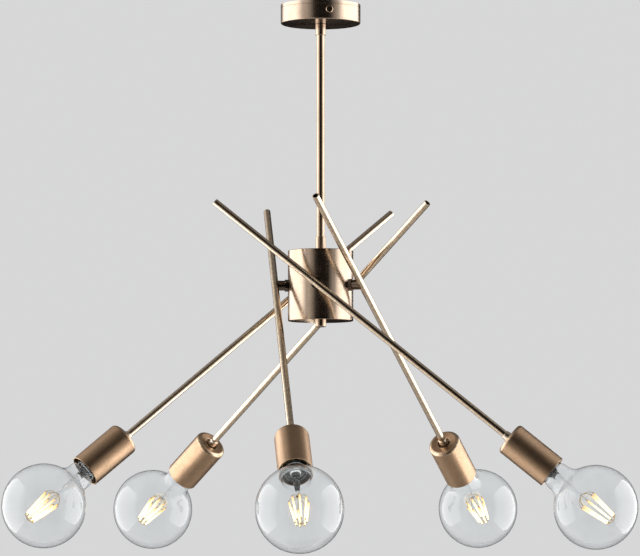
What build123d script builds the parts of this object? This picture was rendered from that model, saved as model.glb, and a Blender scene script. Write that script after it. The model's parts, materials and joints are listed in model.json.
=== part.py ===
from build123d import *
import os
from math import cos, radians, sin, sqrt

# Five-arm sputnik chandelier, in millimetres, +Z up. The origin is the centre of the canopy's
# top at the ceiling, and the front of the object faces -Y. Threads are drawn plain.

# ---------------------------------------------------------------- driving sizes
# Where things hang
pivot_drop = 325.0  # ceiling to the plane of the five arm pivots
first_bearing = -8.8  # bearing of the first arm pivot, from -Y towards +X, in degrees
# Arms are named by where the bulb hangs. Both lists are in degrees: how far each pivot hole
# stands off even spacing round the hub, and how far each arm points down as it is set
pivot_trim = {"right": 2.45, "back_right": 0.05, "back_left": 3.1, "left": -2.5, "front": -3.7}
arm_tilt = {"right": 38.9, "back_right": 38.2, "back_left": 38.4, "left": 38.6, "front": 39.9}

# Clearances
thread_clearance = 0.05  # radial, for each drawn-plain thread in its hole
running_clearance = 0.05  # radial, bush on nipple
body_gap = 0.3  # between pieces that move past each other
slip_clearance = 0.15  # radial, spigots and sleeves
braze_gap = 0.02  # film of braze between bush and arm tube

# Canopy
canopy_dia = 92.0
canopy_height = 22.0
canopy_wall = 1.2
canopy_corner = 1.6
canopy_line_drop = 4.0  # turned line below the top rim
canopy_line_radius = 0.45

# Ceiling bracket and the canopy's side screws
screw_bearing = 12.3  # of the screw seen at the front, from -Y towards +X
bracket_width = 18.0
bracket_thickness = 1.5
bracket_tab_below_screw = 5.0
ceiling_hole_pcd = 64.0
ceiling_hole_dia = 5.2
canopy_screw_dia = 4.0
canopy_screw_length = 9.0
canopy_screw_head_dia = 8.4
canopy_screw_head_height = 2.8
canopy_screw_head_round = 1.1
canopy_screw_recess_dia = 4.2
canopy_screw_recess_depth = 1.2
canopy_screw_hole_clearance = 0.3

# Terminal block
terminal_length = 30.0
terminal_depth = 15.0
terminal_height = 12.0
terminal_offset = 17.5  # from the canopy's centre, along the bracket
terminal_poles = 3
terminal_entry_dia = 4.0
terminal_screw_dia = 3.4
terminal_screw_depth = 7.0
terminal_chamfer = 1.0

# Stem
stem_dia = 9.5
stem_wall = 1.35
stem_over_nut = 2.5  # thread that stands past the lock nut in the canopy
stem_window_height = 14.0
stem_window_width = 5.0
stem_window_drop = 15.0  # from the underside of the hub's top disc to the window
collar_wall = 1.2
collar_chamfer = 0.4
top_collar_length = 13.0
bottom_collar_length = 16.0
stem_nut_flats = 14.0
stem_nut_height = 3.5
nut_chamfer_share = 0.6  # of a hexagon's corner that its chamfer takes off

# Hub
hub_dia = 75.0
hub_height = 81.0
hub_wall = 1.2
hub_disc_edge = 2.4
hub_disc_spigot = 2.0
hub_disc_chamfer = 0.5
cap_nut_wall = 1.7
cap_nut_height = 7.0
cap_nut_floor = 2.0
cap_nut_round = 2.4

# Arm pivots
nipple_dia = 8.0
nipple_wall = 1.3
nipple_past_nut = 1.5
nipple_in_bush = 5.6
pivot_nut_flats = 12.0
pivot_nut_height = 4.0
bush_wall = 1.7
bush_length = 6.7  # from its hub end to the wall of the arm tube
bush_wrap = 2.6  # how far the saddle reaches round the arm tube
bush_chamfer = 0.4
bush_end_gap = 0.4
wire_hole_dia = 4.6  # from each bush into its arm tube

# Arms
arm_dia = 8.0
arm_wall = 1.0
arm_upper_length = 148.5  # pivot to the free upper end
arm_to_socket = 281.5  # pivot to the top face of the socket cup
arm_in_socket = 10.0  # how far the tube passes the cup's top face

# Collar where the tube enters the cup
arm_collar_length = 10.0
arm_collar_top_wall = 0.85
arm_collar_bottom_wall = 1.75
arm_collar_round = 0.35

# Socket cup
cup_dia = 38.5
cup_length = 62.0
cup_wall = 1.2
cup_shoulder = 4.0
cup_dish_dia = 15.6
cup_dish_depth = 4.0
cup_dish_slope = 0.8
cup_floor = 1.6
cup_lip = 0.35

# Lampholder in the cup
holder_side_gap = 1.0  # radial, between insulator and cup
holder_recess = 10.5  # from the cup's mouth to the insulator's end
holder_floor = 23.0  # solid end of the insulator above the screw shell
holder_chamfer = 0.6
shell_clearance = 0.4  # radial, bulb cap in the screw shell
shell_wall = 0.5
tongue_width = 7.0
tongue_thickness = 0.8
tongue_foot = 5.0  # flat end screwed down on the insulator
tongue_reach = 9.0  # from the foot's outer end to the bulb's axis
tongue_nose = 2.5  # flat end under the bulb's tip, each side of the axis
tongue_height = 5.5

# Bulb
globe_dia = 95.0
glass_wall = 0.9
neck_step = 0.2  # radial, the glass over the cap's rim
neck_flare = 2.7  # radial, how much the neck widens above the cap
neck_length = 10.0  # from the cap's rim to where the neck blends into the globe
neck_blend = 14.0
glass_in_cap = 4.0
cap_dia = 26.2
cap_length = 26.5
cap_wall = 0.5
cap_thread_pitch = 3.6
cap_thread_depth = 0.75
cap_thread_turns = 5
cap_thread_start = 6.5
cap_tip_dia = 10.0
cap_tip_height = 1.6
cap_cone_dia = 15.0
cap_cone_height = 3.4

# Filament mount inside the bulb
mount_tube_dia = 6.4
mount_flare_height = 5.0
mount_tube_to_sticks = 8.0
mount_rod_dia = 1.6
stick_count = 8
stick_dia = 2.0
stick_length = 36.0
stick_top_radius = 10.8
stick_bottom_radius = 6.0
stick_rise = 13.0  # upper stick ends above the globe's centre
wire_dia = 0.9
wire_drop = 4.0

# ---------------------------------------------------------------- derived places
bearings = {
    arm_name: first_bearing + trim + index * 360 / len(pivot_trim)
    for index, (arm_name, trim) in enumerate(pivot_trim.items())
}
stem_radius = stem_dia / 2
stem_hole_radius = stem_radius + thread_clearance
hub_radius = hub_dia / 2
hub_inner_radius = hub_radius - hub_wall
hub_top = -pivot_drop + hub_height / 2
hub_bottom = hub_top - hub_height
canopy_inner_radius = canopy_dia / 2 - canopy_wall
canopy_floor_top = -canopy_height + canopy_wall
screw_drop = canopy_height / 2
tab_drop = screw_drop + bracket_tab_below_screw
tab_face = sqrt(canopy_inner_radius**2 - (bracket_width / 2) ** 2) - slip_clearance
stem_top = canopy_floor_top + stem_nut_height + stem_over_nut
stem_bottom = hub_bottom - cap_nut_height + cap_nut_floor
hub_spigot_bottom = hub_top - hub_disc_edge - hub_disc_spigot
nipple_radius = nipple_dia / 2
nipple_hole_radius = nipple_radius + thread_clearance
bush_bore_radius = nipple_radius + running_clearance
bush_radius = bush_bore_radius + bush_wall
bush_start = hub_radius + pivot_nut_height + body_gap
arm_radius = arm_dia / 2
arm_hole_radius = arm_radius + thread_clearance
arm_bore_radius = arm_radius - arm_wall
arm_offset = bush_start + bush_length + arm_radius  # hub axis to arm axis
pivot_nut_corner = pivot_nut_flats / sqrt(3)
inner_nut_face = sqrt(hub_inner_radius**2 - pivot_nut_corner**2) - thread_clearance

# Along an arm, measured from its pivot towards the socket
collar_seat = arm_to_socket + cup_dish_depth
cup_mouth = arm_to_socket + cup_length
cup_radius = cup_dia / 2
holder_top = collar_seat + cup_floor
holder_seat = holder_top + holder_floor
holder_end = cup_mouth - holder_recess
tongue_top = holder_seat + tongue_height
shell_bore_radius = cap_dia / 2 + shell_clearance
shell_outer_radius = shell_bore_radius + shell_wall

# The bulb, on the same axis
cap_tip = tongue_top + body_gap
cap_rim = cap_tip + cap_length
cap_root_radius = cap_dia / 2 - cap_thread_depth
seal_radius = cap_root_radius - cap_wall - thread_clearance  # glass inside the cap
seal_bore_radius = seal_radius - glass_wall
foot_radius = cap_dia / 2 + neck_step
foot_height = cap_rim + body_gap
neck_radius = foot_radius + neck_flare
neck_top = foot_height + neck_length
globe_radius = globe_dia / 2
blend_reach = neck_radius + neck_blend  # from the axis to the centre of the blend's arc
globe_centre = neck_top + sqrt((globe_radius + neck_blend) ** 2 - blend_reach**2)
crown_turn = radians(30)  # where the globe's arc takes its middle point


# ---------------------------------------------------------------- helpers
def pipe(outer_radius, inner_radius, low, high):
    """A straight tube about Z from height low to height high."""
    outer = Pos(0, 0, (low + high) / 2) * Cylinder(outer_radius, high - low)
    return outer - Pos(0, 0, (low + high) / 2) * Cylinder(inner_radius, high - low)


def rod(radius, low, high):
    """A solid round bar about Z from height low to height high."""
    return Pos(0, 0, (low + high) / 2) * Cylinder(radius, high - low)


def turned(points):
    """A solid turned about Z from a closed outline of (radius, height) points."""
    return revolve(Plane.XZ * make_face(Polyline(*points, close=True)), Axis.Z)


def strut(start, end, radius):
    """A round bar between two points."""
    path = Vector(*end) - Vector(*start)
    return Plane(origin=start, z_dir=path).location * rod(radius, 0, path.length)


def hex_nut(flats, height, hole_radius, low):
    """A hexagonal nut about Z that stands on height low, with its corners chamfered."""
    corner_radius = flats / sqrt(3)
    blank = Pos(0, 0, low) * extrude(RegularPolygon(corner_radius, 6), height)
    corner_cut = (corner_radius - flats / 2) * nut_chamfer_share
    barrel = chamfer(rod(corner_radius, low, low + height).edges().filter_by(GeomType.CIRCLE), corner_cut)
    return (blank & barrel) - rod(hole_radius, low, low + height)


def write(shape, name):
    """One STEP file for one sub-part."""
    export_step(shape, f"parts/{name}.step")


def bearing_direction(bearing):
    """Level unit vector at a bearing that is 0 at -Y and grows towards +X."""
    return Vector(sin(radians(bearing)), -cos(radians(bearing)), 0)


def pivot_frame(bearing):
    """Frame of one arm pivot: origin on the hub's axis, Z outwards through the pivot."""
    return Plane(origin=(0, 0, -pivot_drop), x_dir=(0, 0, 1), z_dir=bearing_direction(bearing))


def arm_frame(arm_name):
    """Frame of one arm: origin at its pivot, X outwards from the hub, Z towards the socket."""
    outward = bearing_direction(bearings[arm_name])
    sideways = bearing_direction(bearings[arm_name] + 90)
    tilt = radians(arm_tilt[arm_name])
    along = sideways * cos(tilt) - Vector(0, 0, sin(tilt))
    origin = outward * arm_offset - Vector(0, 0, pivot_drop)
    return Plane(origin=origin, x_dir=outward, z_dir=along)


# ---------------------------------------------------------------- canopy and ceiling bracket
def make_canopy():
    """Spun cup with a hole for the stem, two side holes and a turned line near its rim."""
    cup = rod(canopy_dia / 2, -canopy_height, 0)
    bottom_edge = cup.edges().sort_by(Axis.Z)[0]
    cup = fillet(bottom_edge, canopy_corner)
    cup -= rod(canopy_inner_radius, canopy_floor_top, 0)
    cup -= rod(stem_hole_radius, -canopy_height, canopy_floor_top)
    line = Pos(0, 0, -canopy_line_drop) * Torus(canopy_dia / 2, canopy_line_radius)
    hole = Cylinder(canopy_screw_dia / 2 + canopy_screw_hole_clearance, canopy_dia * 2)
    through = screw_frame(0).location * hole
    return cup - line - through


def screw_frame(turn):
    """Frame of a canopy side screw: origin on the axis, Z outwards along the screw."""
    origin = (0, 0, -screw_drop)
    return Plane(origin=origin, x_dir=(0, 0, 1), z_dir=bearing_direction(screw_bearing + turn))


def make_ceiling_bracket():
    """Steel strap on the ceiling, with a bent tab and a tapped hole at each end."""
    strap = Pos(0, 0, -bracket_thickness / 2) * Box(2 * tab_face, bracket_width, bracket_thickness)
    tab = Box(bracket_thickness, bracket_width, tab_drop)
    hole = rod(ceiling_hole_dia / 2, -bracket_thickness, 0)
    for side in (-1, 1):
        place = side * (tab_face - bracket_thickness / 2)
        strap += Pos(place, 0, -tab_drop / 2) * tab
        strap -= Pos(side * ceiling_hole_pcd / 2, 0, 0) * hole
    strap = Rot(0, 0, screw_bearing - 90) * strap
    tapped = Cylinder(canopy_screw_dia / 2 + thread_clearance, canopy_dia)
    return strap - screw_frame(0).location * tapped


def make_canopy_screw():
    """Round-headed side screw along Z, its head seated on the canopy's wall."""
    wall = canopy_dia / 2
    head = rod(canopy_screw_head_dia / 2, wall, wall + canopy_screw_head_height)
    head = fillet(head.edges().sort_by(Axis.Z)[-1], canopy_screw_head_round)
    recess_floor = wall + canopy_screw_head_height - canopy_screw_recess_depth
    recess_blank = RegularPolygon(canopy_screw_recess_dia / 2, 6)
    head -= Pos(0, 0, recess_floor) * extrude(recess_blank, canopy_screw_recess_depth)
    return head + rod(canopy_screw_dia / 2, wall - canopy_screw_length, wall)


def make_terminal_block():
    """Three-pole connector block under the bracket, with wire entries and screw wells."""
    middle = -bracket_thickness - terminal_height / 2
    block = Box(terminal_depth, terminal_length, terminal_height)
    block = chamfer(block.edges().filter_by(Axis.Z), terminal_chamfer)
    pitch = terminal_length / terminal_poles
    for pole in range(terminal_poles):
        place = (pole - (terminal_poles - 1) / 2) * pitch
        block -= Pos(0, place, 0) * Rot(0, 90, 0) * Cylinder(terminal_entry_dia / 2, terminal_depth)
        well = Cylinder(terminal_screw_dia / 2, terminal_screw_depth)
        block -= Pos(0, place, (terminal_screw_depth - terminal_height) / 2) * well
    return Rot(0, 0, screw_bearing - 90) * Pos(-terminal_offset, 0, middle) * block


# ---------------------------------------------------------------- stem
def make_stem_tube():
    """Tube from inside the canopy to the cap nut, with a window for the leads in the hub."""
    tube = pipe(stem_radius, stem_radius - stem_wall, stem_bottom, stem_top)
    window_middle = hub_spigot_bottom - stem_window_drop - stem_window_height / 2
    window = Box(stem_window_width, stem_dia, stem_window_height)
    return tube - Pos(0, stem_radius, window_middle) * window


def make_stem_collar(low, length):
    """Sleeve on the stem that covers its thread."""
    sleeve = rod(stem_hole_radius + collar_wall, low, low + length)
    sleeve = chamfer(sleeve.edges().filter_by(GeomType.CIRCLE), collar_chamfer)
    return sleeve - rod(stem_hole_radius, low, low + length)


def make_stem_nut(low):
    """Hexagonal lock nut on the stem, standing on height low."""
    return hex_nut(stem_nut_flats, stem_nut_height, stem_hole_radius, low)


# ---------------------------------------------------------------- hub
def make_hub_shell():
    """Hub wall between the two end discs, with a hole for each pivot nipple."""
    shell = pipe(hub_radius, hub_inner_radius, hub_bottom + hub_disc_edge, hub_top - hub_disc_edge)
    for bearing in bearings.values():
        hole = rod(nipple_hole_radius, 0, hub_dia)
        shell -= pivot_frame(bearing).location * hole
    return shell


def make_hub_disc():
    """End disc with a spigot that centres it in the shell; Z points out of the hub."""
    edge = rod(hub_radius, 0, hub_disc_edge)
    edge = chamfer(edge.edges().sort_by(Axis.Z)[-1], hub_disc_chamfer)
    disc = edge + rod(hub_inner_radius - slip_clearance, -hub_disc_spigot, 0)
    return disc - rod(stem_hole_radius, -hub_disc_spigot, hub_disc_edge)


def make_cap_nut():
    """Blind round nut that closes the stem and clamps the hub together."""
    low = hub_bottom - cap_nut_height
    nut = rod(stem_hole_radius + cap_nut_wall, low, hub_bottom)
    nut = fillet(nut.edges().sort_by(Axis.Z)[0], cap_nut_round)
    return nut - rod(stem_hole_radius, low + cap_nut_floor, hub_bottom)


# ---------------------------------------------------------------- arm pivots, Z outwards
def make_pivot_nipple():
    """Hollow threaded tube through the hub wall, on which the bush turns."""
    inner_end = inner_nut_face - pivot_nut_height - nipple_past_nut
    outer_end = bush_start + nipple_in_bush
    return pipe(nipple_radius, nipple_radius - nipple_wall, inner_end, outer_end)


def make_pivot_nut(low):
    """Hexagonal lock nut on a pivot nipple, starting at height low."""
    return hex_nut(pivot_nut_flats, pivot_nut_height, nipple_hole_radius, low)


# ---------------------------------------------------------------- arm pieces, Z towards the socket
def make_arm_tube():
    """Plain cut tube with a hole towards its bush for the leads."""
    tube = pipe(arm_radius, arm_bore_radius, -arm_upper_length, arm_to_socket + arm_in_socket)
    return tube - Rot(0, 90, 0) * rod(wire_hole_dia / 2, -arm_dia, 0)


def make_arm_bush():
    """Swivel bush: a bore that turns on the nipple, and a saddle brazed round the arm tube."""
    hub_end = -arm_radius - bush_length
    bush = rod(bush_radius, hub_end, -arm_radius + bush_wrap)
    bush = chamfer(bush.edges().sort_by(Axis.Z)[0], bush_chamfer)
    bore_end = hub_end + nipple_in_bush + bush_end_gap
    bush -= rod(bush_bore_radius, hub_end, bore_end)
    bush -= rod(wire_hole_dia / 2, bore_end, 0)
    return Rot(0, 90, 0) * bush - Cylinder(arm_radius + braze_gap, 4 * bush_radius)


def make_arm_collar():
    """Conical ferrule that stands in the dish of the cup's top."""
    top = collar_seat - arm_collar_length
    cone = turned(
        [
            (0, top),
            (arm_hole_radius + arm_collar_top_wall, top),
            (arm_hole_radius + arm_collar_bottom_wall, collar_seat),
            (0, collar_seat),
        ]
    )
    cone = fillet(cone.edges().sort_by(Axis.Z)[0], arm_collar_round)
    return cone - rod(arm_hole_radius, top, collar_seat)


def make_socket_cup():
    """Turned cup with a rounded shoulder, a dished top and an open mouth."""
    cup = rod(cup_radius, arm_to_socket, cup_mouth)
    cup = fillet(cup.edges().sort_by(Axis.Z)[0], cup_shoulder)
    dish_radius = cup_dish_dia / 2
    land_radius = cup_radius - cup_shoulder
    cup -= turned(
        [
            (0, arm_to_socket),
            (land_radius, arm_to_socket),
            (dish_radius, arm_to_socket + cup_dish_slope),
            (dish_radius, collar_seat),
            (0, collar_seat),
        ]
    )
    cup -= rod(arm_hole_radius, collar_seat, holder_top)
    cup -= rod(cup_radius - cup_wall, holder_top, cup_mouth)
    return chamfer(cup.edges().sort_by(Axis.Z)[-2:], cup_lip)


def make_lampholder():
    """Insulator inside the cup, with wells for the tube's end and the screw shell."""
    body = rod(cup_radius - cup_wall - holder_side_gap, holder_top, holder_end)
    body = chamfer(body.edges().filter_by(GeomType.CIRCLE), holder_chamfer)
    body -= rod(shell_outer_radius + thread_clearance, holder_seat, holder_end)
    tube_well_end = arm_to_socket + arm_in_socket + body_gap
    body -= rod(arm_hole_radius, holder_top, tube_well_end)
    return body - rod(arm_bore_radius, tube_well_end, holder_seat)


def make_lamp_contacts():
    """Plain-drawn screw shell, and the bent spring tongue under the bulb's tip."""
    shell = pipe(shell_outer_radius, shell_bore_radius, holder_seat, holder_end)
    low = holder_seat
    foot_end = tongue_foot - tongue_reach
    side = [
        (-tongue_reach, low),
        (foot_end, low),
        (-tongue_nose, tongue_top - tongue_thickness),
        (tongue_nose, tongue_top - tongue_thickness),
        (tongue_nose, tongue_top),
        (-tongue_nose, tongue_top),
        (foot_end - tongue_thickness, low + tongue_thickness),
        (-tongue_reach, low + tongue_thickness),
    ]
    strip = Plane.XZ * make_face(Polyline(*side, close=True))
    tongue = extrude(strip, tongue_width / 2, both=True)
    return Compound(children=[shell, tongue])


# ---------------------------------------------------------------- bulb, Z towards its crown
def glass_wall_points(inset):
    """Where the arcs of the bulb's outline meet, from neck to crown, drawn in by inset."""
    ball = globe_radius - inset
    blend = neck_blend + inset
    share = ball / (ball + blend)
    meet = (blend_reach * share, globe_centre + (neck_top - globe_centre) * share)
    chord = Vector(*meet) - Vector(blend_reach, neck_top)
    bisector = (chord.normalized() + Vector(-1, 0)).normalized()
    blend_middle = (blend_reach + bisector.X * blend, neck_top + bisector.Y * blend)
    side = (ball * cos(crown_turn), globe_centre + ball * sin(crown_turn))
    return (neck_radius - inset, neck_top), blend_middle, meet, side, (0, globe_centre + ball)


def make_bulb_glass():
    """Clear globe whose short neck is closed into the cap."""
    low = cap_rim - glass_in_cap
    foot = (foot_radius, foot_height)
    inner_foot = (foot_radius - glass_wall, foot_height + glass_wall)
    outer = glass_wall_points(0)
    inner = glass_wall_points(glass_wall)
    outline = Polyline((seal_radius, low), (seal_radius, foot_height), foot)
    outline += TangentArc(outer[0], foot, tangent=(0, -1))
    outline += ThreePointArc(*outer[:3])
    outline += ThreePointArc(*outer[2:])
    outline += Line(outer[4], inner[4])
    outline += ThreePointArc(*inner[:1:-1])
    outline += ThreePointArc(*inner[2::-1])
    outline += TangentArc(inner[0], inner_foot, tangent=(0, -1))
    outline += Polyline(
        inner_foot,
        (seal_bore_radius, foot_height + glass_wall),
        (seal_bore_radius, low),
        (seal_radius, low),
    )
    return revolve(Plane.XZ * make_face(outline), Axis.Z)


def make_bulb_cap():
    """Screw cap with rolled rings, an insulating cone and the contact at its tip."""
    root = cap_root_radius
    cap = rod(root, cap_tip + cap_tip_height + cap_cone_height, cap_rim)
    for turn in range(cap_thread_turns):
        height = cap_tip + cap_thread_start + turn * cap_thread_pitch
        cap += Pos(0, 0, height) * Torus(root, cap_thread_depth)
    cone_top = cap_tip + cap_tip_height
    cap += turned(
        [
            (0, cap_tip),
            (cap_tip_dia / 2 - cap_tip_height / 2, cap_tip),
            (cap_tip_dia / 2, cone_top),
            (cap_cone_dia / 2, cone_top),
            (root, cone_top + cap_cone_height),
            (0, cone_top + cap_cone_height),
        ]
    )
    return cap - rod(root - cap_wall, cone_top + cap_cone_height + cap_wall, cap_rim)


def make_bulb_filament():
    """Flared glass mount, centre rod, lead wires and the ring of LED sticks."""
    foot = cap_rim - glass_in_cap
    stick_top = globe_centre - stick_rise
    tube_top = stick_top - mount_tube_to_sticks
    mount = rod(mount_tube_dia / 2, foot, tube_top)
    flare_radius = seal_bore_radius - thread_clearance
    flare = Cone(flare_radius, mount_tube_dia / 2, mount_flare_height)
    mount += Pos(0, 0, foot + mount_flare_height / 2) * flare
    spread = stick_top_radius - stick_bottom_radius
    stick_bottom = stick_top + sqrt(stick_length**2 - spread**2)
    mount += rod(mount_rod_dia / 2, tube_top, stick_bottom + wire_drop)
    for stick in range(stick_count):
        turn = radians(360 * stick / stick_count)
        near = (stick_top_radius * cos(turn), stick_top_radius * sin(turn), stick_top)
        far = (stick_bottom_radius * cos(turn), stick_bottom_radius * sin(turn), stick_bottom)
        mount += strut(near, far, stick_dia / 2)
        mount += strut((0, 0, tube_top - wire_drop), near, wire_dia / 2)
        mount += strut(far, (0, 0, stick_bottom + wire_drop / 2), wire_dia / 2)
    return mount


# ---------------------------------------------------------------- build and write
os.makedirs("parts", exist_ok=True)

write(make_canopy(), "canopy")
write(make_ceiling_bracket(), "ceiling_bracket")
side_screw = make_canopy_screw()
write(Compound(children=[screw_frame(turn).location * side_screw for turn in (0, 180)]), "canopy_screws")
write(make_terminal_block(), "terminal_block")
write(make_stem_tube(), "stem_tube")
write(make_stem_collar(-canopy_height - top_collar_length, top_collar_length), "stem_top_collar")
write(make_stem_collar(hub_top, bottom_collar_length), "stem_bottom_collar")
stem_nuts = [make_stem_nut(canopy_floor_top), make_stem_nut(hub_spigot_bottom - stem_nut_height)]
write(Compound(children=stem_nuts), "stem_lock_nuts")
write(make_hub_shell(), "hub_shell")
hub_disc = make_hub_disc()
write(Pos(0, 0, hub_top - hub_disc_edge) * hub_disc, "hub_top_disc")
write(Pos(0, 0, hub_bottom + hub_disc_edge) * Rot(180, 0, 0) * hub_disc, "hub_bottom_disc")
write(make_cap_nut(), "hub_cap_nut")

nipple = make_pivot_nipple()
outer_nut = make_pivot_nut(hub_radius)
inner_nut = make_pivot_nut(inner_nut_face - pivot_nut_height)
nipples = []
pivot_nuts = []
for bearing in bearings.values():
    place = pivot_frame(bearing).location
    nipples.append(place * nipple)
    pivot_nuts.append(place * outer_nut)
    pivot_nuts.append(place * inner_nut)
write(Compound(children=nipples), "pivot_nipples")
write(Compound(children=pivot_nuts), "pivot_lock_nuts")

arm_pieces = {
    "arm_tube": make_arm_tube(),
    "arm_bush": make_arm_bush(),
    "arm_collar": make_arm_collar(),
    "socket_cup": make_socket_cup(),
    "lampholder": make_lampholder(),
    "lamp_contacts": make_lamp_contacts(),
    "bulb_glass": make_bulb_glass(),
    "bulb_cap": make_bulb_cap(),
    "bulb_filament": make_bulb_filament(),
}
for arm_name in arm_tilt:
    place = arm_frame(arm_name).location
    for piece_name, piece in arm_pieces.items():
        write(place * piece, f"{piece_name}_{arm_name}")
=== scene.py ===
"""Five-arm sputnik chandelier: turned bronze, clear globe bulbs, stage and light round its frame."""

import json
from math import asin, atan2, cos, pi, radians, sin, sqrt, tau

import bmesh
import bpy
from mathutils import Matrix, Vector


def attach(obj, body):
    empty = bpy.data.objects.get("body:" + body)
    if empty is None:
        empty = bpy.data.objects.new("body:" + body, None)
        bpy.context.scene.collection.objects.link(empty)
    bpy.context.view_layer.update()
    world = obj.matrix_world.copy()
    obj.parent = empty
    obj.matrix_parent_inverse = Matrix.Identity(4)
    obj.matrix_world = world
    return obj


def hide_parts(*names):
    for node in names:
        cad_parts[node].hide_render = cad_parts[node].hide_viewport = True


bl_info = {
    "name": "Five-arm sputnik chandelier",
    "version": (1, 0, 0),
    "blender": (4, 5, 0),
    "location": "View3D > Sidebar > Chandelier",
    "description": "Dresses the chandelier's frame with turned metal, clear globe bulbs and a stage",
    "category": "Object",
}

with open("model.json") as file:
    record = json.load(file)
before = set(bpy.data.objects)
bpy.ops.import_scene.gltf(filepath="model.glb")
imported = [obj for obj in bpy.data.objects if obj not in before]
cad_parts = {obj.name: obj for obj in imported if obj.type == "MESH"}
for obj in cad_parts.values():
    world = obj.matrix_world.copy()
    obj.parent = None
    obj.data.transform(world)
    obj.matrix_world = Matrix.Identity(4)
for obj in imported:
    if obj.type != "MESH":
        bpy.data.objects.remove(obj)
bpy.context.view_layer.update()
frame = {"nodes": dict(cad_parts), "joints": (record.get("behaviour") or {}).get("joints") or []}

JOINTS = {joint["name"]: joint for joint in frame["joints"]}
ARMS = ("right", "back_right", "back_left", "left", "front")

# Lengths in metres that several pieces share
GLASS_IN_CAP = 0.004  # how far the globe's skin reaches into the cap
BODY_GAP = 0.0003  # between pieces of the bulb that don't touch
THREAD_FIT = 0.00005  # radial, between a tube and the hole it stands in
WELD = 0.000001  # points nearer than this are one

# Steps round a full turn
WIDE_STEPS = 128
CAP_STEPS = 96
CONE_STEPS = 64
THIN_STEPS = 48

# Noise of the finishes, in turns per metre
ALONG_TURNS = (20, 20, 1500)
FINE_TURNS = (14, 14, 2600)
CUP_TURNS = (18, 18, 1500)
DRAWN_TUBE = (900, 900, 12)
CLOUDS = (55, 55, 30)
SPOTS = (420, 420, 420)
TARNISH = (130, 130, 130)
MOTTLE = (90, 90, 90)
MOULD_GRAIN = (2600, 2600, 2600)
GLASS_WAVES = (28, 28, 28)
PHOSPHOR_GRAIN = (900, 900, 900)
PHOSPHOR_CHIPS = (300, 300, 620)
FLOOR_MOTTLE = (1.5, 1.5, 1.5)


# ---------------------------------------------------------------- sizes and colours to change
def length(name, default, description):
    """A size in metres, shown in the scene's own units."""
    return bpy.props.FloatProperty(
        name=name, description=description, default=default, unit="LENGTH", subtype="DISTANCE"
    )


def colour(name, default, description):
    """A linear colour with no alpha."""
    return bpy.props.FloatVectorProperty(
        name=name, description=description, default=default, size=3, subtype="COLOR", min=0, max=1
    )


def share(name, default, description):
    """A number from 0 to 1."""
    return bpy.props.FloatProperty(
        name=name, description=description, default=default, min=0, max=1, subtype="FACTOR"
    )


class FinishSettings(bpy.types.PropertyGroup):
    """Colours and gloss of the metals, glass and mouldings."""

    satin_bronze: colour("Satin bronze", (0.47, 0.365, 0.28), "Canopy and hub")
    polished_bronze: colour("Polished bronze", (0.46, 0.345, 0.255), "Stem, arms and small fittings")
    dark_bronze: colour("Dark bronze", (0.14, 0.105, 0.08), "Swivel bushes and pivot nuts")
    bright_bronze: colour("Bright bronze", (0.80, 0.70, 0.60), "Ferrules")
    cup_bronze: colour("Cup bronze", (0.44, 0.275, 0.165), "Socket cups")
    patina: colour("Patina", (0.17, 0.11, 0.06), "Darker brown that clouds the bronze")
    worn_bronze: colour("Worn bronze", (0.84, 0.70, 0.52), "Bare metal along rubbed edges")
    zinc_steel: colour("Zinc steel", (0.56, 0.56, 0.54), "Ceiling bracket and lock nuts")
    white_moulding: colour("White moulding", (0.78, 0.77, 0.72), "Terminal block")
    black_insulator: colour("Black insulator", (0.018, 0.018, 0.02), "Lampholder and cap glass")
    contact_brass: colour("Contact brass", (0.66, 0.50, 0.24), "Screw shell, tongue and stick ends")
    cap_metal: colour("Cap metal", (0.72, 0.72, 0.71), "Screw cap of each bulb")
    glass: colour("Glass", (0.955, 0.97, 0.975), "Globe and inner mount")
    glass_ior: bpy.props.FloatProperty(
        name="Glass IOR", description="Refraction of the glass", default=1.47, min=1
    )
    phosphor: colour("Phosphor", (0.92, 0.70, 0.34), "Coating of the light sticks")
    gold_light: colour("Gold light", (0.42, 0.19, 0.035), "Light of the sticks' upper ends")
    cream_light: colour("Cream light", (1.0, 0.80, 0.46), "Light of the sticks")
    glow: bpy.props.FloatProperty(
        name="Glow", description="Strength of the light sticks", default=2.2, min=0
    )
    satin_roughness: share("Satin roughness", 0.22, "Canopy and hub")
    polished_roughness: share("Polished roughness", 0.15, "Stem and arms")
    cup_roughness: share("Cup roughness", 0.34, "Socket cups")


class ArmSettings(bpy.types.PropertyGroup):
    """One arm tube with its ferrule, measured along the arm from its pivot."""

    tube_radius: length("Tube radius", 0.004, "Outside of the arm tube")
    tube_wall: length("Tube wall", 0.001, "Wall of the arm tube")
    upper_length: length("Upper length", 0.1485, "Pivot to the free end")
    socket_top: length("Socket top", 0.2815, "Pivot to the top face of the socket cup")
    in_socket: length("In socket", 0.010, "How far the tube passes the cup's top face")
    cut_round: length("Cut edge", 0.00012, "Rounding of the sawn ends")
    ferrule_length: length("Ferrule length", 0.010, "Cone where the tube enters the cup")
    ferrule_top_radius: length("Ferrule top radius", 0.0049, "Narrow end of the cone")
    ferrule_bottom_radius: length("Ferrule bottom radius", 0.0058, "Wide end of the cone")
    ferrule_round: length("Ferrule rounding", 0.00035, "Rounding of the narrow end")


class CupSettings(bpy.types.PropertyGroup):
    """One socket cup."""

    radius: length("Radius", 0.01925, "Outside of the cup")
    length: length("Length", 0.062, "Top face to mouth")
    wall: length("Wall", 0.0012, "Wall of the cup")
    shoulder: length("Shoulder", 0.004, "Rounding between top and side")
    dish_radius: length("Dish radius", 0.0078, "Sunk ring round the arm")
    dish_depth: length("Dish depth", 0.004, "Depth of the sunk ring")
    dish_slope: length("Dish slope", 0.0008, "Fall of the top face towards the dish")
    floor: length("Floor", 0.0016, "Thickness under the dish")
    lip: length("Lip", 0.00035, "Rounding of the mouth")


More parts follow.
